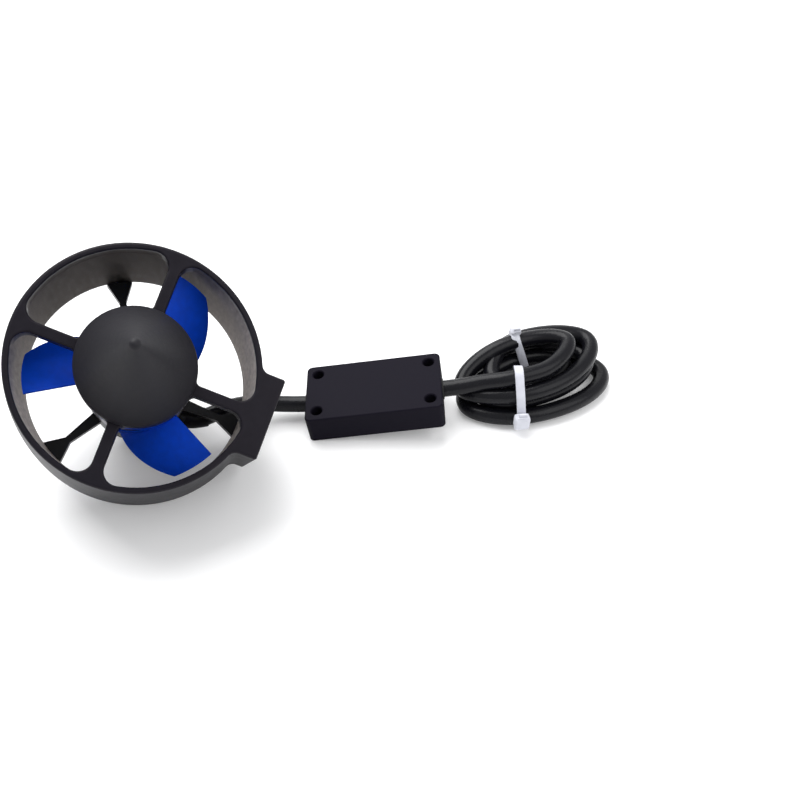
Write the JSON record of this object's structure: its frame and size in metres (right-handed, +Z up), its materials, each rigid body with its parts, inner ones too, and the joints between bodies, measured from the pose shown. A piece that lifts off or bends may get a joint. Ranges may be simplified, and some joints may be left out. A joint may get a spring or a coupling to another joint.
{
  "type": "underwater thruster",
  "caption": "Ducted underwater thruster with a pointed nose, blue outrunner propeller, rear motor pod, lead, potted speed controller and coiled supply lead.",
  "frame": {"origin": "centre of the bottom of the thruster and its controller as they lie on a table, without the loose lead", "axes": "+Z up, +X from the thruster towards the controller and its coil, +Y away from the viewer; the thruster leans back on its rear rim and tail"},
  "size_m": [0.2775, 0.1339, 0.1127],
  "materials": {
    "black_anodised": "satin black anodised outside, bare turned bore inside",
    "black_anodised_smooth": "fine-turned satin black anodised",
    "black_anodised_frame": "satin black anodised",
    "black_housing": "satin moulded black",
    "bell_steel": "bare grey, lightly turned",
    "blue_propeller": "satin blue",
    "stainless_steel": "plain stainless",
    "bearing_steel": "ground and polished",
    "magnet_nickel": "nickel plated",
    "electrical_steel": "varnished laminations",
    "enamelled_copper": "enamelled",
    "seal_rubber": "matte",
    "lead_sheath": "glossy black sheath",
    "wire_insulation": "insulated cores with tinned ends",
    "charcoal_case": "fine-textured charcoal",
    "circuit_board": "solder mask",
    "black_chip": "moulded",
    "capacitor_can": "drawn can",
    "white_nylon": "translucent white"
  },
  "bodies": {
    "housing": {"duct_body": "black_anodised", "nose_cone": "black_anodised_smooth", "nose_seal": "seal_rubber", "front_bearing": "bearing_steel", "middle_bearing": "bearing_steel", "rear_bearing": "bearing_steel", "stator_core": "electrical_steel", "stator_windings": "enamelled_copper", "phase_wires": "enamelled_copper", "rear_frame": "black_anodised_frame", "frame_screws": "stainless_steel", "tail_cap": "black_housing", "tail_seal": "seal_rubber", "tail_screws": "stainless_steel", "cable_boot": "black_housing", "motor_lead": "lead_sheath", "esc_case": "charcoal_case", "esc_cover": "charcoal_case", "esc_board": "circuit_board", "esc_transistors": "black_chip", "esc_capacitors": "capacitor_can", "esc_processor": "black_chip", "motor_side_grommet": "seal_rubber", "supply_side_grommet": "seal_rubber", "supply_lead": "lead_sheath", "lead_coil": "lead_sheath", "lead_tail": "lead_sheath", "lead_wires": "wire_insulation", "near_tie": "white_nylon", "far_tie": "white_nylon"},
    "rotor": {"shaft": "bearing_steel", "shaft_clip": "stainless_steel", "front_spacer": "stainless_steel", "rotor_bell": "bell_steel", "magnets": "magnet_nickel", "propeller": "blue_propeller", "propeller_screws": "stainless_steel"}
  },
  "joints": [
    {"name": "propeller_spin", "type": "hinge", "parent": "housing", "child": "rotor", "pos_m": [-0.03822, -0.00243, 0.05532], "axis": [0.2386, -0.6349, 0.7348], "continuous": true}
  ]
}
